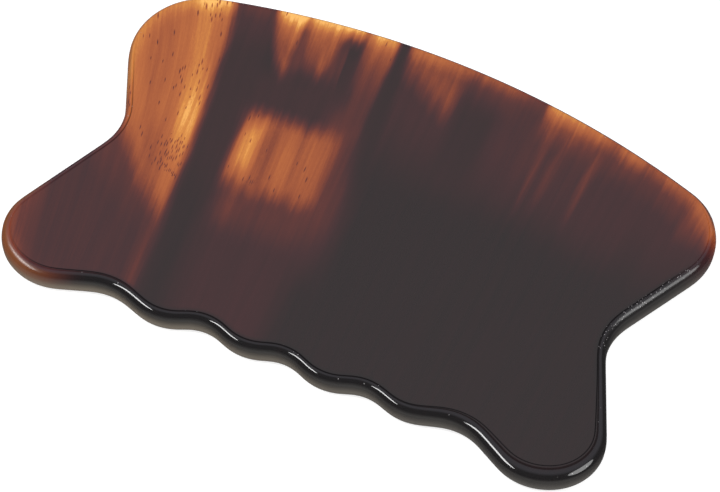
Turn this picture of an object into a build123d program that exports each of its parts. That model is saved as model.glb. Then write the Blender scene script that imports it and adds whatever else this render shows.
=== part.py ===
from build123d import *
import os

# Gua sha scraper: one flat plate of polished horn, sawn out and rounded by hand.
# +X runs along the plate, +Y points from the comb to the arched back and +Z is the thickness.
# The origin is under the middle of the plate, on the surface it lies on. Sizes are in millimetres.

# ---- driving dimensions ----

THICKNESS = 4.5  # of the plate, between its two flat faces
RIM_ROUND = 1.6  # rounding of the upper and lower rim, all the way round

# The outline is a ring of corners, each rounded by an arc. The corners stand off from the mid
# line of the plate in X, and in Y from a base line near the waists. The hand-cut ends differ:
# on the right the corners lie this much further out, and on the left this much further in.
HAND_SKEW = 0.8

BACK_Y = 45.7  # where the tangents of the arched back meet
BACK_RADIUS = 157

EAR_X, EAR_Y, EAR_RADIUS = 58.5, 29.1, 12.2  # rounded end of the back
WAIST_X, WAIST_Y, WAIST_RADIUS = 45.4, 0.7, 10  # hollow in each end
LOBE_X, LOBE_Y, LOBE_RADIUS = 58.2, -27.2, 9.5  # outer side of the round lobe
HEEL_X, HEEL_Y, HEEL_RADIUS = 45, -33.3, 10.5  # lower side of the round lobe

# comb edge between the two lobes
TOOTH_PITCH = 14.8
TOOTH_Y, TOOTH_RADIUS = -30.9, 9.5
VALLEY_Y, VALLEY_RADIUS = -27.4, 6.8
SHOULDER_X, SHOULDER_RADIUS = 32.2, 9.4  # wide valley beside each lobe


def end_corners(side):
    """Corners of one end, from the ear round to the middle tooth, as (x, y, radius)."""
    skew = side * HAND_SKEW
    return [
        (side * EAR_X, EAR_Y, EAR_RADIUS - skew),
        (side * WAIST_X, WAIST_Y - skew, WAIST_RADIUS),
        (side * LOBE_X + HAND_SKEW, LOBE_Y, LOBE_RADIUS),
        (side * HEEL_X, HEEL_Y, HEEL_RADIUS),
        (side * SHOULDER_X, VALLEY_Y + skew, SHOULDER_RADIUS),
        (side * 1.5 * TOOTH_PITCH, TOOTH_Y + skew, TOOTH_RADIUS),
        (side * TOOTH_PITCH, VALLEY_Y, VALLEY_RADIUS),
        (side * 0.5 * TOOTH_PITCH, TOOTH_Y, TOOTH_RADIUS),
    ]


back = [(0, BACK_Y, BACK_RADIUS)]
middle_valley = [(0, VALLEY_Y, VALLEY_RADIUS)]
corners = back + end_corners(1) + middle_valley + end_corners(-1)[::-1]

# ---- horn plate ----

with BuildSketch(mode=Mode.PRIVATE) as outline:
    with BuildLine():
        FilletPolyline([(x, y) for x, y, _ in corners], radius=[r for _, _, r in corners], close=True)
    make_face()

# the outline is centred on the origin before it is given its thickness
middle = outline.sketch.bounding_box().center()

with BuildPart() as horn_plate:
    with BuildSketch():
        with Locations((-middle.X, -middle.Y)):
            add(outline.sketch)
    extrude(amount=THICKNESS)
    flat_faces = horn_plate.faces().filter_by(Axis.Z)
    fillet(flat_faces.edges(), radius=RIM_ROUND)

horn_plate.part.label = "horn_plate"

# ---- files ----

os.makedirs("parts", exist_ok=True)
export_step(horn_plate.part, "parts/horn_plate.step")

size = horn_plate.part.bounding_box().size
print(f"plate {size.X:.2f} x {size.Y:.2f} x {size.Z:.2f} mm, moved by {-middle.X:.3f}, {-middle.Y:.3f}")
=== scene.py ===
"""Looks of the gua sha scraper: a plate of polished horn on a white studio floor."""
import math

import bpy
import numpy as np
from mathutils import Matrix, Vector, geometry


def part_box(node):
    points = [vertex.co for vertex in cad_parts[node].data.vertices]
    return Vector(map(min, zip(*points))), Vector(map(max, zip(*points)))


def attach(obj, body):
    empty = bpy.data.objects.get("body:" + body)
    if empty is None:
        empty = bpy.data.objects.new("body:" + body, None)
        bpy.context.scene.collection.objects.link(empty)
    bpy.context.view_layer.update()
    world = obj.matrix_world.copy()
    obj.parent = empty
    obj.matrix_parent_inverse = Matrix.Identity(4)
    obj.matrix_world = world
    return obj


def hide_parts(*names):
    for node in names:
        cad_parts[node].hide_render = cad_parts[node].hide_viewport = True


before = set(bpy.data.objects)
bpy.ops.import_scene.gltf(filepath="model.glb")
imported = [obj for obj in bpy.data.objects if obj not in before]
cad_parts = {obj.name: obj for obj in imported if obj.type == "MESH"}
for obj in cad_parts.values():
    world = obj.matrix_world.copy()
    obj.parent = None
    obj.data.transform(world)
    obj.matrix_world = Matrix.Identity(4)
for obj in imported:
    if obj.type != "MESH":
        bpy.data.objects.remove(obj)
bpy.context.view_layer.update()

MM = 0.001

# ---- the plate's outline: the same corners as the CAD part, in millimetres ----

HAND_SKEW = 0.8
BACK_Y, BACK_RADIUS = 45.7, 157
EAR_X, EAR_Y, EAR_RADIUS = 58.5, 29.1, 12.2
WAIST_X, WAIST_Y, WAIST_RADIUS = 45.4, 0.7, 10
LOBE_X, LOBE_Y, LOBE_RADIUS = 58.2, -27.2, 9.5
HEEL_X, HEEL_Y, HEEL_RADIUS = 45, -33.3, 10.5
TOOTH_PITCH = 14.8
TOOTH_Y, TOOTH_RADIUS = -30.9, 9.5
VALLEY_Y, VALLEY_RADIUS = -27.4, 6.8
SHOULDER_X, SHOULDER_RADIUS = 32.2, 9.4

ARC_STEP = 0.05  # between neighbouring points of an arc, before the ring is spaced evenly
ARC_POINTS = 3  # the fewest that an arc has
OUTLINE_STEP = 0.35  # between neighbouring points of the rim
OUTLINE_EASE = 0.9  # how far the hand polish spreads each change of curvature
BELL_REACH = 3  # spreads that a bell curve is followed for, to either side


def end_corners(side):
    """Corners of one end, from the ear round to the middle tooth, as (x, y, radius)."""
    skew = side * HAND_SKEW
    return [
        (side * EAR_X, EAR_Y, EAR_RADIUS - skew),
        (side * WAIST_X, WAIST_Y - skew, WAIST_RADIUS),
        (side * LOBE_X + HAND_SKEW, LOBE_Y, LOBE_RADIUS),
        (side * HEEL_X, HEEL_Y, HEEL_RADIUS),
        (side * SHOULDER_X, VALLEY_Y + skew, SHOULDER_RADIUS),
        (side * 1.5 * TOOTH_PITCH, TOOTH_Y + skew, TOOTH_RADIUS),
        (side * TOOTH_PITCH, VALLEY_Y, VALLEY_RADIUS),
        (side * 0.5 * TOOTH_PITCH, TOOTH_Y, TOOTH_RADIUS),
    ]


def cross(a, b):
    """Positive where b is anticlockwise from a."""
    return a[0] * b[1] - a[1] * b[0]


def arc_at(before, corner, after, radius):
    """Points of the arc that rounds a corner, both tangent points included."""
    into = (corner - before) / np.linalg.norm(corner - before)
    out = (after - corner) / np.linalg.norm(after - corner)
    turn = math.atan2(cross(into, out), into @ out)
    start = corner - into * radius * math.tan(abs(turn) / 2)
    hand = math.copysign(1, turn)
    centre = start + hand * radius * np.array([-into[1], into[0]])
    count = max(ARC_POINTS, math.ceil(abs(turn) * radius / ARC_STEP))
    angles = np.linspace(0, turn, count)[:, None]
    arm = start - centre
    side = np.array([-arm[1], arm[0]])
    return centre + arm * np.cos(angles) + side * np.sin(angles)


def evenly(points, step):
    """A closed ring of points, about step apart."""
    ring = np.vstack([points, points[:1]])
    along = np.r_[0, np.cumsum(np.linalg.norm(np.diff(ring, axis=0), axis=1))]
    count = round(along[-1] / step)
    at = np.linspace(0, along[-1], count, endpoint=False)
    return np.column_stack([np.interp(at, along, ring[:, i]) for i in (0, 1)])


def eased(values, spread):
    """Ring values averaged over their neighbours, with a bell curve that is spread points wide."""
    reach = math.ceil(BELL_REACH * spread)
    offsets = range(-reach, reach + 1)
    weights = [math.exp(-0.5 * (k / spread) ** 2) for k in offsets]
    total = sum(w * np.roll(values, k, axis=0) for w, k in zip(weights, offsets))
    return total / sum(weights)


def plate_outline():
    """Ring of points of the plate's outline and its outward normals, clockwise from the back."""
    corners = [(0, BACK_Y, BACK_RADIUS), *end_corners(1), (0, VALLEY_Y, VALLEY_RADIUS)]
    corners += end_corners(-1)[::-1]
    places = [np.array(c[:2], float) for c in corners]
    arcs = []
    for i, corner in enumerate(corners):
        after = places[(i + 1) % len(places)]
        arcs.append(arc_at(places[i - 1], places[i], after, corner[2]))
    points = evenly(np.vstack(arcs), OUTLINE_STEP)
    points -= (points.max(axis=0) + points.min(axis=0)) / 2
    points = eased(points, OUTLINE_EASE / OUTLINE_STEP)
    along = np.roll(points, -1, axis=0) - np.roll(points, 1, axis=0)
    along /= np.linalg.norm(along, axis=1)[:, None]
    return points, np.column_stack([-along[:, 1], along[:, 0]])


# ---- the rim: how the edge of the plate is rounded ----

# Width of the rounding at places round the rim: direction from the plate's centre in degrees
# anticlockwise from +X, and millimetres. The right lobe is bevelled widest.
RIM_WIDTHS = [
    (-150, 1.7),
    (-141, 1.9),
    (-128, 1.4),
    (-60, 1.3),
    (-45, 1.9),
    (-36, 2.9),
    (-28, 2.5),
    (-15, 1.5),
    (0, 1.3),
    (20, 1.5),
    (32, 1.1),
    (60, 1.1),
    (120, 1.1),
    (160, 1.1),
    (180, 1.2),
]
ARRIS_INSET = 0.92  # in widths of the rounding, where the eye sees the flat face end
RIM_EASE = 5  # how far a change of width is spread along the rim
RIM_HEIGHT = 1.35  # of the rounding, down from a flat face
RIM_START = 4  # degrees that the rounding leaves the flat face by, a fine polished arris
RIM_POWER = 2.15  # of the rounding's superellipse: 2 is an ellipse
WALL_BULGE = 0.10  # how far the middle of the wall stands out from its ends
RIM_RINGS = 11
WALL_RINGS = 6
ARRIS_GUARD = 0.06  # width of the ring that keeps the arris crisp


def rim_widths(points):
    """Width of the rounding at each point of the outline."""
    angles = np.degrees(np.arctan2(points[:, 1], points[:, 0]))
    places, widths = zip(*RIM_WIDTHS)
    found = np.interp(angles, places, widths, period=360)
    return eased(found, RIM_EASE / OUTLINE_STEP)


def rim_profile():
    """Section of the rounding from the flat face to the wall, as (inset, drop).

    Inset is in widths of the rounding, and drop is in heights of it below the flat face.
    """
    start = math.radians(RIM_START)
    section = []
    for i in range(RIM_RINGS + 1):
        angle = start + (math.pi / 2 - start) * i / RIM_RINGS
        inset = 1 - math.sin(angle) ** (2 / RIM_POWER)
        drop = 1 - math.cos(angle) ** (2 / RIM_POWER)
        section.append((inset, drop))
    # the section is stretched to begin level with the flat face
    first_drop = section[0][1]
    return [(inset, (drop - first_drop) / (1 - first_drop)) for inset, drop in section]


def edge_levels(widths, half):
    """Insets of the edge's points and their height, level by level from one flat face to the other."""
    profile = rim_profile()
    face_inset = widths * profile[0][0] + WALL_BULGE
    upper = [(face_inset + ARRIS_GUARD, half)]
    for inset, drop in profile:
        upper.append((widths * inset + WALL_BULGE, half - RIM_HEIGHT * drop))
    wall_top = half - RIM_HEIGHT
    for i in range(1, WALL_RINGS):
        z = wall_top * (1 - i / WALL_RINGS)
        upper.append((np.full(len(widths), WALL_BULGE * (z / wall_top) ** 2), z))
    middle = [(np.zeros(len(widths)), 0.0)]
    lower = [(inset, -z) for inset, z in reversed(upper)]
    return upper + middle + lower


# ---- the flat faces, and the whole plate ----

FACE_STEP = 1.3  # between neighbouring points inside a flat face
FACE_CLEARANCE = 0.7  # in steps, the least gap between those points and the face's border
FACE_WAVE = 0.05  # depth of the hand polish's unevenness in a flat face
FACE_WAVE_LENGTH = 21
FACE_WAVE_BORDER = 6  # how far in from the border the unevenness grows to its full depth
# Each wave's rate along x and along y, its length in FACE_WAVE_LENGTH, and its phase.
FACE_WAVES = [
    (0.9, 0.3, 1.0, 0.6),
    (-0.35, 1.1, 1.4, 2.1),
]
SAME_POINT = 1e-7  # triangulated points that are closer than this count as one


def wave(x, y):
    """Gentle unevenness of a hand-polished face, from 0 to 1."""
    total = 0
    for rate_x, rate_y, length, phase in FACE_WAVES:
        turns = (x * rate_x + y * rate_y) / (FACE_WAVE_LENGTH * length)
        total += math.sin(2 * math.pi * turns + phase)
    return 0.5 + 0.5 * total / len(FACE_WAVES)


def distance_to(place, ring):
    """Distance from a place to the nearest of the ring's points."""
    return np.min(np.linalg.norm(ring - place, axis=1))


def inside_by(places, ring, gap):
    """True for each place that lies inside the ring and at least gap from its points."""
    after = np.roll(ring, -1, axis=0)
    keep = []
    for place in places:
        # the place is inside if a line from it along x crosses the ring an odd number of times
        above = (ring[:, 1] > place[1]) != (after[:, 1] > place[1])
        slope = (after[:, 0] - ring[:, 0]) / np.where(above, after[:, 1] - ring[:, 1], 1)
        crossing = ring[:, 0] + (place[1] - ring[:, 1]) * slope
        inside = np.count_nonzero(above & (place[0] < crossing)) % 2 == 1
        keep.append(inside and distance_to(place, ring) > gap)
    return np.array(keep)


def lattice_in(ring):
    """Points of a triangular lattice that lie well inside a ring."""
    low, high = ring.min(axis=0), ring.max(axis=0)
    lattice = []
    row = 0
    y = low[1]
    while y < high[1]:
        x = low[0] + (FACE_STEP / 2 if row % 2 else 0)
        while x < high[0]:
            lattice.append((x, y))
            x += FACE_STEP
        y += FACE_STEP * math.sqrt(3) / 2
        row += 1
    lattice = np.array(lattice)
    return lattice[inside_by(lattice, ring, FACE_STEP * FACE_CLEARANCE)]


def fill_face(verts, faces, ring, z, faces_up):
    """Adds a flat face's triangles inside a ring of vertices, gently dished by the hand polish."""
    edge = [Vector(verts[i][:2]) for i in ring]
    border = [(i, (i + 1) % len(edge)) for i in range(len(edge))]
    border_places = np.array([place[:] for place in edge])
    inner = [Vector(place) for place in lattice_in(border_places)]
    inside_only = 1
    made = geometry.delaunay_2d_cdt(edge + inner, border, [], inside_only, SAME_POINT)
    places, _, triangles, origins, _, _ = made
    index = []
    for place, origin in zip(places, origins):
        source = origin[0]
        if source < len(edge):
            index.append(ring[source])
            continue
        border_gap = distance_to(np.array(place[:]), border_places)
        depth = FACE_WAVE * wave(*place) * min(1, border_gap / FACE_WAVE_BORDER) ** 2
        index.append(len(verts))
        verts.append((place[0], place[1], z - math.copysign(depth, z)))
    for triangle in triangles:
        a, b, c = (index[k] for k in triangle)
        place_a, place_b, place_c = (np.array(verts[k][:2]) for k in (a, b, c))
        is_up = cross(place_b - place_a, place_c - place_a) > 0
        faces.append((a, b, c) if is_up == faces_up else (a, c, b))


def plate_mesh(name, thickness):
    """The plate as one closed mesh, with what the material needs to know of each vertex."""
    points, normals = plate_outline()
    widths = rim_widths(points)
    half = thickness / 2

    verts = []
    rings = []
    for inset, z in edge_levels(widths, half):
        rings.append(range(len(verts), len(verts) + len(points)))
        verts.extend((x, y, z) for x, y in points - normals * inset[:, None])

    faces = []
    for above, below in zip(rings, rings[1:]):
        for i in range(len(points)):
            j = (i + 1) % len(points)
            faces.append((above[i], above[j], below[j], below[i]))
    fill_face(verts, faces, rings[0], half, True)
    fill_face(verts, faces, rings[-1], -half, False)

    mesh = bpy.data.meshes.new(name)
    mesh.from_pydata([(x * MM, y * MM, (z + half) * MM) for x, y, z in verts], [], faces)
    mesh.validate()
    mesh.update()
    mesh.shade_smooth()
    store(mesh, edge_distances(mesh, points, widths))
    store(mesh, edge_regions(mesh))
    return mesh


def store(mesh, fields):
    """Keeps a value for each vertex under each name, for the material to read."""
    for name, values in fields.items():
        attribute = mesh.attributes.new(name, "FLOAT", "POINT")
        attribute.data.foreach_set("value", values)


def edge_distances(mesh, outline, widths):
    """Where each vertex is in the plate's edge, in millimetres.

    "inset" is the distance in from the outline, and "past_arris" is how far in that is from the
    line where the rounding meets the flat face.
    """
    insets = []
    past_arris = []
    for vertex in mesh.vertices:
        gaps = np.linalg.norm(outline - np.array(vertex.co[:2]) / MM, axis=1)
        nearest = np.argmin(gaps)
        insets.append(gaps[nearest])
        past_arris.append(gaps[nearest] - widths[nearest] * ARRIS_INSET - WALL_BULGE)
    return {"inset": insets, "past_arris": past_arris}


# ---- regions of the edge that the material treats apart ----

# Each pair is the stretch of x, y or z, in millimetres, over which something fades in or out. The
# shares are how strong it is before and after its stretch, and a start is a y that itself moves
# from one value to another over a stretch of x.
GLOW_START_X, GLOW_START_Y = (-45, -20), (-2, 12)  # the back's glow starts lower at the left end
GLOW_RISE = 12
EAR_GLOW_X, EAR_GLOW = (-53, -42), 0.45  # the left ear glows by this share of the back's glow
LOBE_GLOW_X, LOBE_GLOW_Y, LOBE_GLOW = (-50, -38), (-32, -14), 0.55
STEEP_START_X, STEEP_START_Y = (-45, -32), (-28, 0)
STEEP_RISE = 12
STEEP_X, STEEP_SHARES = (-50, 10), (0.45, 0.9)  # the painted dark outline of shade grows stronger along the back
STEEP_END = (22, 32)  # and it ends where x - y passes this, at the right ear
SHADED_ROUNDING_X, SHADED_ROUNDING_Y = (-44, -36), (8, 20)  # the comb and the right side, where the rounding is painted black as shade
FOOT_Z = (1.4, 3.5)  # of the wall, which is painted paler below with light from the floor
FOOT_X, FOOT_SHARES = (-45, 50), (0.75, 0.1)
LEFT_LOBE_X, LEFT_LOBE_Y = (-49, -38), (-24, -16)
LINED_X, LINED_Y = (-56, -40), (8, 16)  # where a dark line of painted shade marks the arris
WAIST_FROM_X, WAIST_FROM_Y, WAIST_TO_Y = (43, 46), (-9, -4), (13, 18)


def fade(values, stretch, before=0, after=1):
    """Values carried smoothly from before, ahead of the stretch, to after, past it."""
    low, high = stretch
    share = np.clip((values - low) / (high - low), 0, 1)
    return before + (after - before) * share * share * (3 - 2 * share)


def edge_regions(mesh):
    """How much each vertex belongs to each region of the edge."""
    x, y, z = np.array([vertex.co[:] for vertex in mesh.vertices]).T / MM
    above_glow_start = y - fade(x, GLOW_START_X, *GLOW_START_Y)
    glowing_back = fade(above_glow_start, (0, GLOW_RISE)) * fade(x, EAR_GLOW_X, EAR_GLOW, 1)
    glowing_lobe = fade(x, LOBE_GLOW_X, 1, 0) * fade(y, LOBE_GLOW_Y, LOBE_GLOW, 0)
    above_steep_start = y - fade(x, STEEP_START_X, *STEEP_START_Y)
    steep_back = fade(above_steep_start, (0, STEEP_RISE)) * fade(x, STEEP_X, *STEEP_SHARES)
    right_end = fade(x, WAIST_FROM_X)
    return {
        "glowing": glowing_back + glowing_lobe,
        "shaded_rounding": fade(x, SHADED_ROUNDING_X) * fade(y, SHADED_ROUNDING_Y, 1, 0),
        "foot": fade(z, FOOT_Z, 1, 0) * fade(x, FOOT_X, *FOOT_SHARES),
        "left_lobe": fade(x, LEFT_LOBE_X, 1, 0) * fade(y, LEFT_LOBE_Y, 1, 0),
        "steep": steep_back * fade(x - y, STEEP_END, 1, 0),
        "lined": fade(x, LINED_X) * fade(y, LINED_Y, 1, 0),
        "right_waist": right_end * fade(y, WAIST_FROM_Y) * fade(y, WAIST_TO_Y, 1, 0),
    }


# ---- floor, lights and camera: places and sizes in metres ----

CAMERA_AZIMUTH = 26.5  # degrees from the comb's side towards the right end
CAMERA_ELEVATION = 53.59
CAMERA_ROLL = 0.45
CAMERA_DISTANCE = 1.5
CAMERA_LENS, CAMERA_SENSOR = 448.9, 36  # millimetres
CAMERA_CLIP = (0.01, 20)
CAMERA_AIM = Vector((-0.0006, -0.00356, 0.0))

# Softboxes aimed at the plate: name, place, width, height and watts.
SOFTBOXES = [
    ("left_softbox", (-0.585, -0.36, 0.73), 0.8, 0.20, 7.6),
    ("right_softbox", (0.786, -0.029, 0.615), 0.7, 0.7, 6.6),
]

# The studio's brightness by angle from the direction that the plate's flat face mirrors: a pale
# panel, a dark gap round it, a pale ring, dim walls, and the pale floor as the plate's wall
# mirrors it.
STUDIO_RINGS = [
    (0, (0.57, 0.56, 0.57)),
    (11, (0.57, 0.56, 0.57)),
    (13, (0.0, 0.0, 0.0)),
    (20, (0.0, 0.0, 0.0)),
    (23, (0.55, 0.53, 0.60)),
    (40, (0.58, 0.56, 0.64)),
    (58, (0.06, 0.06, 0.06)),
    (110, (0.06, 0.06, 0.06)),
    (150, (0.60, 0.58, 0.55)),
    (180, (0.80, 0.78, 0.74)),
]

FLOOR_SIZE = 6
FLOOR_GAP = -0.00002  # keeps the floor clear of the plate's underside
FLOOR_GREY = 0.5
FLOOR_GLOW = 0.75  # light of its own, which keeps it white
FLOOR_ROUGHNESS, FLOOR_SPECULAR = 0.9, 0.1


def camera_back():
    """Direction from the plate to the camera."""
    azimuth = math.radians(CAMERA_AZIMUTH)
    elevation = math.radians(CAMERA_ELEVATION)
    level = math.cos(elevation)
    return Vector((math.sin(azimuth) * level, -math.cos(azimuth) * level, math.sin(elevation)))


def make_camera():
    azimuth = math.radians(CAMERA_AZIMUTH)
    back = camera_back()
    right = Vector((math.cos(azimuth), math.sin(azimuth), 0))
    up = back.cross(right)
    turn = Matrix((right, up, back)).transposed()
    roll = Matrix.Rotation(math.radians(CAMERA_ROLL), 3, "Z")
    place = Matrix.Translation(CAMERA_AIM + back * CAMERA_DISTANCE)
    data = bpy.data.cameras.new("camera")
    data.lens = CAMERA_LENS
    data.sensor_width = CAMERA_SENSOR
    data.clip_start, data.clip_end = CAMERA_CLIP
    camera = bpy.data.objects.new("camera", data)
    camera.matrix_world = place @ (turn @ roll).to_4x4()
    bpy.context.scene.collection.objects.link(camera)
    bpy.context.scene.camera = camera


def softbox(name, place, width, height, power):
    """An oval area light that is aimed at the middle of the plate."""
    data = bpy.data.lights.new(name, "AREA")
    data.shape = "ELLIPSE"
    data.size = width
    data.size_y = height
    data.energy = power
    light = bpy.data.objects.new(name, data)
    light.location = place
    light.rotation_euler = (-Vector(place)).to_track_quat("-Z", "Y").to_euler()
    bpy.context.scene.collection.objects.link(light)


def make_world():
    """Rings of light and dark round the direction that the plate mirrors to the camera."""
    world = bpy.data.worlds.new("studio")
    world.use_nodes = True
    graph = Graph(world.node_tree)
    background = world.node_tree.nodes["Background"]
    back = camera_back()
    towards_panel = graph.add("ShaderNodeVectorMath", operation="DOT_PRODUCT")
    graph.feed(towards_panel.inputs[0], graph.add("ShaderNodeTexCoord").outputs["Generated"])
    towards_panel.inputs[1].default_value = (-back.x, -back.y, back.z)
    angle = graph.math("ARCCOSINE", towards_panel.outputs["Value"])
    rings = [(at / 180, colour) for at, colour in STUDIO_RINGS]
    graph.feed(background.inputs["Color"], graph.ramp(graph.times(angle, 1 / math.pi), rings))
    bpy.context.scene.world = world


def make_floor():
    bpy.ops.mesh.primitive_plane_add(size=FLOOR_SIZE)
    floor = bpy.context.object
    floor.name = "floor"
    material = bpy.data.materials.new("white_floor")
    material.use_nodes = True
    shader = material.node_tree.nodes["Principled BSDF"]
    shader.inputs["Base Color"].default_value = (FLOOR_GREY, FLOOR_GREY, FLOOR_GREY, 1)
    shader.inputs["Roughness"].default_value = FLOOR_ROUGHNESS
    shader.inputs["Specular IOR Level"].default_value = FLOOR_SPECULAR
    shader.inputs["Emission Color"].default_value = (1, 1, 1, 1)
    shader.inputs["Emission Strength"].default_value = FLOOR_GLOW
    floor.data.materials.append(material)
    floor.location.z = FLOOR_GAP
    floor.visible_glossy = False


# ---- polished horn ----

# Growth streaks run from the back to the comb, and lean more the further left they are.
# A streak's place is where it crosses y = 0: across = x + lean * y, in millimetres.
STREAK_LEAN = 0.11
STREAK_FAN = -0.0022  # change of lean for each millimetre of x
STREAK_LEAN_RANGE = (0.04, 0.20)
END_FAN_X, END_FAN = -38.0, 0.011  # left of this x the lean grows again, by this much for each mm

# How much light comes back out of the horn, from 0, black, to 1, bright amber.
# Each patch: level, across from and to, y from and to, softness across and along, and how far
# its lower and upper ends rise for each millimetre across. Later patches cover earlier ones.
LEFT, COMB, BACK = -70, -50, 50  # past the edges of the plate, for patches that run off it
BASE_LEVEL = 0.03  # where there is no patch
SOFTEN_ACROSS, SOFTEN_ALONG = 1.5, 1.25  # widen the soft edges of every patch
PATCHES = [
    # left end, below the amber
    (0.16, LEFT, -33.0, COMB, 0, 1.0, 4.0, 0),
    (0.25, LEFT, -34.0, -8.0, 5, 1.0, 5.0, -0.6),
    (0.27, -36.2, -32.6, -34.0, -12.0, 0.8, 6.0, 0),
    (0.28, LEFT, -58.5, -38.0, -12.0, 2.4, 5.0, 0),
    # amber left end
    (0.66, LEFT, -34.0, 3.0, BACK, 0.9, 3.5, -1.1),
    (0.76, LEFT, -41.5, 16.0, BACK, 3.0, 5.0, 0),
    (0.98, LEFT, -38.5, 24.5, BACK, 2.0, 4.5, 0.4),
    (0.62, -45.0, -41.5, 3.0, 23.0, 1.6, 5.0, 0),
    (0.52, -42.5, -38.5, -10.0, 0.5, 1.4, 4.0, -0.8),
    (0.76, -38.9, -35.2, 8.0, BACK, 1.0, 4.0, 0),
    (0.92, -39.6, -34.6, 27.0, BACK, 1.0, 3.0, 0),
    (0.84, -38.0, -33.8, -4.6, 13.0, 1.0, 5.0, 0),
    (0.94, -37.7, -34.0, 0.5, 9.5, 1.0, 4.0, 0),
    # dark band
    (0.08, -33.9, -27.3, COMB, BACK, 1.1, 1.0, 0),
    (0.17, -34.0, -27.6, 25.0, BACK, 1.0, 4.0, 0),
    (0.04, -33.0, -27.2, COMB, -6.0, 1.6, 6.0, 0),
    # wedge at the back edge
    (0.44, -27.6, -23.2, 21.5, BACK, 0.7, 3.0, -2.6),
    (1.00, -27.4, -22.5, 29.0, BACK, 0.8, 4.0, -0.6),
    (0.28, -23.0, -21.9, 20.0, 31.5, 0.5, 3.0, 0),
    # orange field beside it
    (0.36, -21.9, -16.4, 22.0, BACK, 0.6, 3.0, 0),
    (0.62, -21.9, -16.2, 27.5, BACK, 0.7, 3.5, 0),
    (0.80, -22.4, -13.0, 32.0, BACK, 1.2, 2.5, 0),
    (0.50, -18.9, -17.9, 22.0, 30.0, 0.4, 3.0, 0),
    (0.24, -16.5, -15.4, 20.0, 30.5, 0.5, 2.5, 0),
    (0.36, -15.3, -14.9, 19.0, 30.0, 0.3, 3.0, 0),
    (0.09, -14.8, -12.4, 13.0, 29.0, 0.7, 2.5, -0.4),
    # orange streak beside that
    (0.24, -12.3, -7.8, 14.0, BACK, 0.9, 4.0, 0),
    (0.36, -12.3, -7.8, 23.5, BACK, 0.8, 3.5, 0),
    (0.66, -12.3, -7.8, 30.0, BACK, 0.8, 3.5, 0),
    # dark block under them
    (0.10, -28.0, -14.5, 9.8, 20.5, 1.0, 2.5, 0.25),
    (0.12, -15.5, -12.0, 12.5, 20.5, 1.2, 3.0, 0),
    # red field towards the comb
    (0.13, -27.0, -9.0, COMB, 2.0, 2.4, 5.0, 0.1),
    (0.24, -26.6, -7.0, -12.0, 4.0, 1.4, 3.5, 0.1),
    (0.32, -25.2, -22.8, -11.0, 0.0, 0.7, 2.5, 0),
    (0.16, -10.5, -4.6, -14.0, 4.0, 2.0, 6.0, 0),
    # second amber field
    (0.26, -13.5, -7.0, -8.0, 17.0, 1.6, 3.0, 0),
    (0.55, -27.0, -10.2, -4.0, 11.3, 1.2, 2.2, 0.10),
    (0.90, -26.6, -23.2, -1.8, 8.2, 0.9, 2.6, 0),
    (0.70, -23.4, -22.4, -1.8, 8.0, 0.6, 3.0, 0),
    (0.50, -22.0, -20.2, -5.5, 9.0, 0.7, 2.5, 0),
    (0.68, -18.8, -16.6, -3.0, 8.0, 0.7, 3.5, 0),
    (0.60, -14.6, -12.8, -3.0, 9.0, 0.8, 3.5, 0),
    # dark streak at the back and the field beside it
    (0.06, -7.5, -5.5, 12.0, BACK, 0.6, 5.0, 0),
    (0.14, -5.0, 40.0, 14.0, BACK, 1.0, 8.0, 0),
    (0.44, -5.4, 4.6, 27.2, BACK, 0.8, 3.0, -0.6),
    (0.07, 5.2, 12.0, 11.0, 29.0, 1.2, 3.0, 0),
    # faint red haze and fine streaks at the right
    (0.30, 1.5, 19.0, 31.5, BACK, 1.5, 3.5, -0.2),
    (0.17, 14.0, 36.0, 16.0, 40.0, 3.0, 8.0, 0),
    (0.14, 30.0, 60.0, 12.0, 40.0, 4.0, 8.0, 0),
    (0.27, 23.0, 49.0, 26.5, BACK, 2.0, 4.0, -0.1),
    (0.28, 20.6, 21.6, 14.0, 34.0, 0.4, 5.0, 0),
    (0.26, 23.0, 24.2, 16.0, 34.0, 0.4, 5.0, 0),
    (0.58, 19.0, 25.2, 30.0, BACK, 0.8, 4.0, 0),
    (0.50, 25.0, 29.5, 30.0, BACK, 0.8, 3.5, 0),
    (0.34, 29.0, 30.2, 16.0, 34.0, 0.4, 6.0, 0),
    (0.42, 32.5, 36.6, 28.5, BACK, 0.8, 3.0, 0),
    (0.32, 40.5, 47.0, 25.0, BACK, 1.4, 4.0, -0.3),
    (0.36, 47.4, 60.0, 20.5, BACK, 0.8, 3.5, 0),
]

# Colour that the horn scatters at each level.
HORN_COLOURS = [
    (0.00, (0.0130, 0.012, 0.0125)),
    (0.15, (0.046, 0.016, 0.018)),
    (0.30, (0.105, 0.024, 0.019)),
    (0.45, (0.21, 0.045, 0.019)),
    (0.60, (0.34, 0.083, 0.024)),
    (0.75, (0.45, 0.125, 0.031)),
    (0.90, (0.64, 0.24, 0.045)),
    (1.00, (0.95, 0.49, 0.125)),
]
EDGE_COLOUR = (0.16, 0.125, 0.085)  # of the wall, where light from below comes through
WALL_GLOW_COLOUR = (0.19, 0.062, 0.018)  # of the wall at the left lobe, painted with the glow of light that comes through it
STEEP_SHADE_COLOUR = (0.055, 0.045, 0.055)  # of the rim's steep side along the back, painted dark as shade
LINE_COLOUR = (0.006, 0.005, 0.006)  # of the painted line of shade where the rounding meets the face
PIT_COLOUR = (0.42, 0.40, 0.40)

# How far in from the outline, in millimetres, each part of the edge fades out, and how strong the
# ones that never cover the horn completely are.
SHADED_ROUNDING_INSET = (0.9, 2.4)
FOOT_INSET = (0.7, 1.6)
WALL_GLOW_INSET, WALL_GLOW = (0.6, 1.3), 0.8
STEEP_INSET = (0.45, 0.85)
WORN_WAIST_INSET, WORN_WAIST = (0.9, 1.6), 0.75
WORN_LOBE_INSET, WORN_LOBE = (1.2, 1.8), 0.8
LINE_HALF_WIDTH = (0.03, 0.16)  # of the line's black core, and of its soft edge

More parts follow.
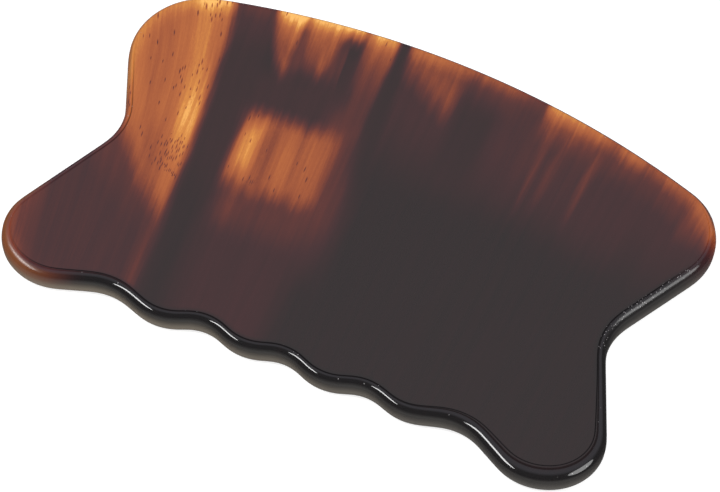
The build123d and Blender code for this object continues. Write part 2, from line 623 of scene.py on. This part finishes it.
HORN_IOR = 1.5
SPECULAR, LINE_SPECULAR = 0.5, 0.05  # of the horn, and of the line, which mirrors less
POLISHED_ROUGHNESS, WORN_ROUGHNESS = 0.07, 0.36

GLOW = 0.34  # painted glow of light through the rim, added to the level at the rim of the back and of the left lobe
GLOW_DEPTH = 4.6  # how far in from the outline the rim's glow reaches
GLOW_RAGGED = 0.15  # share of that depth that the fibres add or take away
GLOW_NEEDS = (0.08, 0.35)  # levels over which the glow sets in
GLOW_SPARES, GLOW_SPARED = (0.6, 1.0), 0.3  # and over which it falls to a share, in bright horn

# Noise fields of the horn: cells for each millimetre across and along the streaks, the slice of
# the noise that keeps the field apart from the others, its detail and its roughness.
DRIFT = (0.12, 0.05, 0.0, 2.0, 0.5)
WANDER = (1.1, 0.07, 7.0, 2.0, 0.5)
FIBRES = (0.9, 0.03, 3.0, 2.0, 0.5)
BROAD_STREAKS = (0.7, 0.03, 11.0, 2.0, 0.5)
FINE_STREAKS = (2.6, 0.08, 17.0, 3.0, 0.6)
GRAIN = (6.0, 1.3, 23.0, 2.0, 0.6)

DRIFT_REACH, WANDER_REACH = 0.8, 0.6  # how far the patches' sides stray, in millimetres
FIBRE_REACH = 1.6  # how far the patches' ends stray, in millimetres
FIBRE_SPREAD = (0.3, 0.7)  # most of the fibre noise's values
STREAK_SPREAD = (0.25, 0.75)  # most of the streak noises' values
STREAK_LEVELS = [(BROAD_STREAKS, 0.08), (FINE_STREAKS, 0.05), (GRAIN, 0.03)]
STREAKS_CLEAR, STREAKS_FAINTEST = (0.0, 0.6), 0.10  # the streaks grow with the level, from this

# Dark pores, gathered in a few places: spacing across and along the streaks in millimetres, radii
# in spacings, and how dark they are.
PORE_WIDTH, PORE_LENGTH = 0.32, 1.8
PORE_CORE, PORE_RADII = 0.04, (0.30, 0.56)
PORE_LEVELS, PORE_DEPTH = (0.3, 0.7), 0.42

# Share of the places that have a pore, painted like the levels above.
PORE_PATCHES = [
    (0.03, LEFT, -8.0, -8.0, 34.0, 1.0, 3.0, 0),
    (0.35, -39.5, -35.0, 8.0, 14.0, 0.8, 2.0, 0),
    (0.95, -38.6, -34.6, -7.0, -0.2, 0.5, 0.9, 0),
    (0.30, -41.2, -38.6, -7.0, -1.0, 0.6, 1.0, 0),
    (0.40, -38.0, -35.4, 24.0, 29.0, 0.6, 1.0, 0),
    (0.95, -22.6, -21.4, -3.6, -1.8, 0.2, 0.4, 0),
]

# Pale pits in the rounding: spacing in millimetres, share of the places that have one at the
# worn waist and everywhere, radii of the core and of the soft edge in spacings, and the insets
# that they lie between.
PIT_SPACING = 0.3
PIT_SHARE_WAIST, PIT_SHARE = 0.35, 0.012
PIT_RADII = (0.15, 0.40)
PIT_INSET_FROM, PIT_INSET_TO = (0.25, 0.5), (1.0, 1.7)
PIT_STRENGTH = 0.8


class Graph:
    """Short ways to add shader nodes; most of them give the new node's output socket."""

    def __init__(self, tree):
        self.tree = tree

    def add(self, kind, **settings):
        node = self.tree.nodes.new(kind)
        for key, value in settings.items():
            setattr(node, key, value)
        return node

    def feed(self, socket, value):
        """Links a socket's value, or sets a constant one."""
        if isinstance(value, bpy.types.NodeSocket):
            self.tree.links.new(value, socket)
        else:
            socket.default_value = value

    def math(self, operation, *values):
        node = self.add("ShaderNodeMath", operation=operation)
        for socket, value in zip(node.inputs, values):
            self.feed(socket, value)
        return node.outputs[0]

    def plus(self, a, b):
        return self.math("ADD", a, b)

    def minus(self, a, b):
        return self.math("SUBTRACT", a, b)

    def times(self, a, b):
        return self.math("MULTIPLY", a, b)

    def remap(self, value, stretch, before=0.0, after=1.0, kind="SMOOTHSTEP"):
        """Value carried from before, ahead of the stretch, to after, past it."""
        node = self.add("ShaderNodeMapRange", interpolation_type=kind)
        names = ("Value", "From Min", "From Max", "To Min", "To Max")
        for name, given in zip(names, (value, *stretch, before, after)):
            self.feed(node.inputs[name], given)
        return node.outputs[0]

    def line(self, value, stretch, before, after):
        """Like remap, but straight."""
        return self.remap(value, stretch, before, after, kind="LINEAR")

    def swing(self, value, reach, stretch=(0.0, 1.0)):
        """Value carried in a straight line to between -reach and reach."""
        return self.line(value, stretch, -reach, reach)

    def mix(self, amount, a, b):
        """Number that is a where amount is 0 and b where it is 1."""
        node = self.add("ShaderNodeMix")
        for name, value in zip(("Factor", "A", "B"), (amount, a, b)):
            self.feed(node.inputs[name], value)
        return node.outputs["Result"]

    def mix_colour(self, amount, a, b):
        """Colour that is a where amount is 0 and the constant colour b where it is 1."""
        node = self.add("ShaderNodeMix", data_type="RGBA")
        self.feed(node.inputs["Factor"], amount)
        self.feed(node.inputs["A"], a)
        node.inputs["B"].default_value = (*b, 1)
        return node.outputs["Result"]

    def ramp(self, value, stops):
        """Colour at value, along stops of (position, colour)."""
        node = self.add("ShaderNodeValToRGB")
        elements = node.color_ramp.elements
        while len(elements) < len(stops):
            elements.new(0.5)
        for element, (at, colour) in zip(elements, stops):
            element.position = at
            element.color = (*colour, 1)
        self.feed(node.inputs[0], value)
        return node.outputs["Color"]

    def place(self, x, y, z=0.0):
        node = self.add("ShaderNodeCombineXYZ")
        for socket, value in zip(node.inputs, (x, y, z)):
            self.feed(socket, value)
        return node.outputs[0]

    def parts(self, vector):
        """The x, y and z of a vector or colour."""
        node = self.add("ShaderNodeSeparateXYZ")
        self.feed(node.inputs[0], vector)
        return node.outputs

    def cells(self, place, dimensions):
        """Scattered cells, one per unit of place: distance to the nearest, and its random values."""
        node = self.add("ShaderNodeTexVoronoi", voronoi_dimensions=dimensions, feature="F1")
        self.feed(node.inputs["Vector"], place)
        node.inputs["Scale"].default_value = 1.0
        return node.outputs["Distance"], self.parts(node.outputs["Color"])

    def stored(self, name):
        """The value that the mesh keeps under a name."""
        return self.add("ShaderNodeAttribute", attribute_name=name).outputs["Fac"]

    def noise(self, place, detail, roughness):
        """Noise from about 0 to 1, one cell per unit of place."""
        node = self.add("ShaderNodeTexNoise", noise_dimensions="3D")
        self.feed(node.inputs["Vector"], place)
        node.inputs["Scale"].default_value = 1.0
        node.inputs["Detail"].default_value = detail
        node.inputs["Roughness"].default_value = roughness
        return node.outputs["Fac"]


# What a patch's node group is given: the level under it, where it is on the horn, and its row.
PATCH_INPUTS = ["So far", "Across", "Along"]
PATCH_INPUTS += ["Level", "From", "To", "Low", "High", "Soft across", "Soft along", "Slope"]


def patch_group():
    """Node group that paints one soft patch over the levels painted so far."""
    tree = bpy.data.node_groups.new("patch", "ShaderNodeTree")
    for name in PATCH_INPUTS:
        tree.interface.new_socket(name, in_out="INPUT", socket_type="NodeSocketFloat")
    tree.interface.new_socket("Level", in_out="OUTPUT", socket_type="NodeSocketFloat")
    graph = Graph(tree)
    # the node has one blank socket more than the group has inputs
    given = graph.add("NodeGroupInput").outputs[: len(PATCH_INPUTS)]
    so_far, across, along, level, start, end, low, high, soft_across, soft_along, slope = given

    def band(value, first, last, soft):
        rise = graph.remap(value, (graph.minus(first, soft), graph.plus(first, soft)))
        fall = graph.remap(value, (graph.minus(last, soft), graph.plus(last, soft)), 1.0, 0.0)
        return graph.times(rise, fall)

    middle = graph.times(graph.plus(start, end), 0.5)
    tilt = graph.times(graph.minus(across, middle), slope)
    width = band(across, start, end, soft_across)
    length = band(graph.minus(along, tilt), low, high, soft_along)
    result = graph.mix(graph.times(width, length), so_far, level)
    graph.feed(graph.add("NodeGroupOutput").inputs[0], result)
    return tree


def paint(graph, patches, level, across, along):
    """Level once all the patches are painted, each over the ones before it."""
    group = patch_group()
    for *row, soft_across, soft_along, slope in patches:
        node = graph.add("ShaderNodeGroup", node_tree=group)
        softness = (soft_across * SOFTEN_ACROSS, soft_along * SOFTEN_ALONG)
        for socket, value in zip(node.inputs, (level, across, along, *row, *softness, slope)):
            graph.feed(socket, value)
        level = node.outputs[0]
    return level


def across_streaks(graph, x, y):
    """Place across the growth streaks, which lean and fan out."""
    least, most = STREAK_LEAN_RANGE
    lean = graph.plus(graph.times(x, STREAK_FAN), STREAK_LEAN)
    lean = graph.math("MINIMUM", graph.math("MAXIMUM", lean, least), most)
    past_end = graph.math("MAXIMUM", graph.minus(END_FAN_X, x), 0.0)
    lean = graph.plus(lean, graph.times(past_end, END_FAN))
    return graph.plus(x, graph.times(lean, y))


def field(graph, across, y, settings):
    """One of the horn's noise fields."""
    cells_across, cells_along, slice_at, detail, roughness = settings
    place = graph.place(graph.times(across, cells_across), graph.times(y, cells_along), slice_at)
    return graph.noise(place, detail, roughness)


def at_rim(graph, level, inset, fibres):
    """Level with a painted glow at the back's and left lobe's rim, and the rounding painted black as
    shade elsewhere.
    """
    ragged_depths = (GLOW_DEPTH * (1 - GLOW_RAGGED), GLOW_DEPTH * (1 + GLOW_RAGGED))
    reach = graph.line(fibres, FIBRE_SPREAD, *ragged_depths)
    glow = graph.remap(graph.math("DIVIDE", inset, reach), (0.0, 1.0), GLOW, 0.0)
    glow = graph.times(glow, graph.stored("glowing"))
    spared = graph.remap(level, GLOW_SPARES, 1.0, GLOW_SPARED)
    glow = graph.times(glow, graph.times(graph.remap(level, GLOW_NEEDS), spared))
    # the rounding at the comb and the right side is painted black as shade
    shaded_rounding = graph.times(graph.stored("shaded_rounding"), graph.remap(inset, SHADED_ROUNDING_INSET, 1.0, 0.0))
    return graph.times(graph.plus(level, glow), graph.minus(1.0, shaded_rounding))


def with_streaks(graph, level, across, y):
    """Level with streaks at three scales, strongest where the horn is clear."""
    streaks = 0.0
    for settings, reach in STREAK_LEVELS:
        noise = field(graph, across, y, settings)
        streaks = graph.plus(streaks, graph.swing(noise, reach, STREAK_SPREAD))
    clear = graph.remap(level, STREAKS_CLEAR, STREAKS_FAINTEST, 1.0)
    return graph.plus(level, graph.times(streaks, clear))


def with_pores(graph, level, across, y, warped):
    """Level with the dark pores, which only show where the horn is clear."""
    place = graph.place(graph.times(across, 1 / PORE_WIDTH), graph.times(y, 1 / PORE_LENGTH))
    distance, random = graph.cells(place, "2D")
    share = paint(graph, PORE_PATCHES, 0.0, warped, y)
    chosen = graph.math("LESS_THAN", random["X"], share)
    radius = graph.line(random["Y"], (0.0, 1.0), *PORE_RADII)
    pore = graph.times(graph.remap(distance, (PORE_CORE, radius), 1.0, 0.0), chosen)
    pore = graph.times(pore, graph.remap(level, PORE_LEVELS, 0.0, PORE_DEPTH))
    return graph.minus(level, pore)


def horn_level(graph, x, y, inset):
    """How much light the horn gives back at each place."""
    across = across_streaks(graph, x, y)
    fibres = field(graph, across, y, FIBRES)
    # the patches' sides wander, and their ends are ragged like fibres
    drift = graph.swing(field(graph, across, y, DRIFT), DRIFT_REACH)
    wander = graph.swing(field(graph, across, y, WANDER), WANDER_REACH)
    warped = graph.plus(graph.plus(across, drift), wander)
    ragged = graph.plus(y, graph.swing(fibres, FIBRE_REACH))
    level = paint(graph, PATCHES, BASE_LEVEL, warped, ragged)
    level = at_rim(graph, level, inset, fibres)
    level = with_streaks(graph, level, across, y)
    return with_pores(graph, level, across, y, warped)


def pits(graph, x, y, z, inset):
    """How much of each place is a pit of the rounding."""
    scale = 1 / PIT_SPACING
    place = graph.place(graph.times(x, scale), graph.times(y, scale), graph.times(z, scale))
    distance, random = graph.cells(place, "3D")
    waist_share = graph.times(graph.stored("right_waist"), PIT_SHARE_WAIST)
    pitted = graph.math("LESS_THAN", random["X"], graph.plus(waist_share, PIT_SHARE))
    pitted = graph.times(pitted, graph.remap(distance, PIT_RADII, 1.0, 0.0))
    pitted = graph.times(pitted, graph.remap(inset, PIT_INSET_FROM))
    pitted = graph.times(pitted, graph.remap(inset, PIT_INSET_TO, 1.0, 0.0))
    return graph.times(pitted, PIT_STRENGTH)


def make_horn():
    material = bpy.data.materials.new("horn")
    material.use_nodes = True
    graph = Graph(material.node_tree)
    shader = material.node_tree.nodes["Principled BSDF"]

    metres = graph.parts(graph.add("ShaderNodeTexCoord").outputs["Object"])
    x, y, z = (graph.times(metres[axis], 1 / MM) for axis in "XYZ")
    inset = graph.stored("inset")

    def edge_share(region, stretch, strength=1.0):
        """Share of a region of the edge, fading out over a stretch of the inset."""
        return graph.times(graph.stored(region), graph.remap(inset, stretch, strength, 0.0))

    # the wall at the left lobe is painted amber with light that comes through it, its foot is painted
    # paler with light from the floor, and the steep side of the rim along the back is painted darker
    # as shade
    colour = graph.ramp(horn_level(graph, x, y, inset), HORN_COLOURS)
    wall_glow = edge_share("left_lobe", WALL_GLOW_INSET, WALL_GLOW)
    colour = graph.mix_colour(wall_glow, colour, WALL_GLOW_COLOUR)
    colour = graph.mix_colour(edge_share("foot", FOOT_INSET), colour, EDGE_COLOUR)
    colour = graph.mix_colour(edge_share("steep", STEEP_INSET), colour, STEEP_SHADE_COLOUR)

    # a fine dark line of painted shade where the rounding meets the face, along the comb and the right
    # side
    from_arris = graph.math("ABSOLUTE", graph.stored("past_arris"))
    line = graph.times(graph.remap(from_arris, LINE_HALF_WIDTH, 1.0, 0.0), graph.stored("lined"))
    colour = graph.mix_colour(line, colour, LINE_COLOUR)

    # the rim is less polished at the right waist and the left lobe
    worn_waist = edge_share("right_waist", WORN_WAIST_INSET, WORN_WAIST)
    worn = graph.plus(worn_waist, edge_share("left_lobe", WORN_LOBE_INSET, WORN_LOBE))
    roughness = graph.line(worn, (0.0, 1.0), POLISHED_ROUGHNESS, WORN_ROUGHNESS)

    colour = graph.mix_colour(pits(graph, x, y, z, inset), colour, PIT_COLOUR)
    graph.feed(shader.inputs["Base Color"], colour)
    graph.feed(shader.inputs["Roughness"], roughness)
    specular = graph.line(line, (0.0, 1.0), SPECULAR, LINE_SPECULAR)
    graph.feed(shader.inputs["Specular IOR Level"], specular)
    shader.inputs["IOR"].default_value = HORN_IOR
    return material


def make_plate():
    low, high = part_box("horn_plate")
    mesh = plate_mesh("horn_plate_polished", (high.z - low.z) / MM)
    plate = bpy.data.objects.new("horn_plate_polished", mesh)
    bpy.context.scene.collection.objects.link(plate)
    mesh.materials.append(make_horn())
    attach(plate, "root")
    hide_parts("horn_plate")


make_camera()
make_world()
for box in SOFTBOXES:
    softbox(*box)
make_floor()
make_plate()
bpy.context.scene.view_settings.view_transform = "Standard"
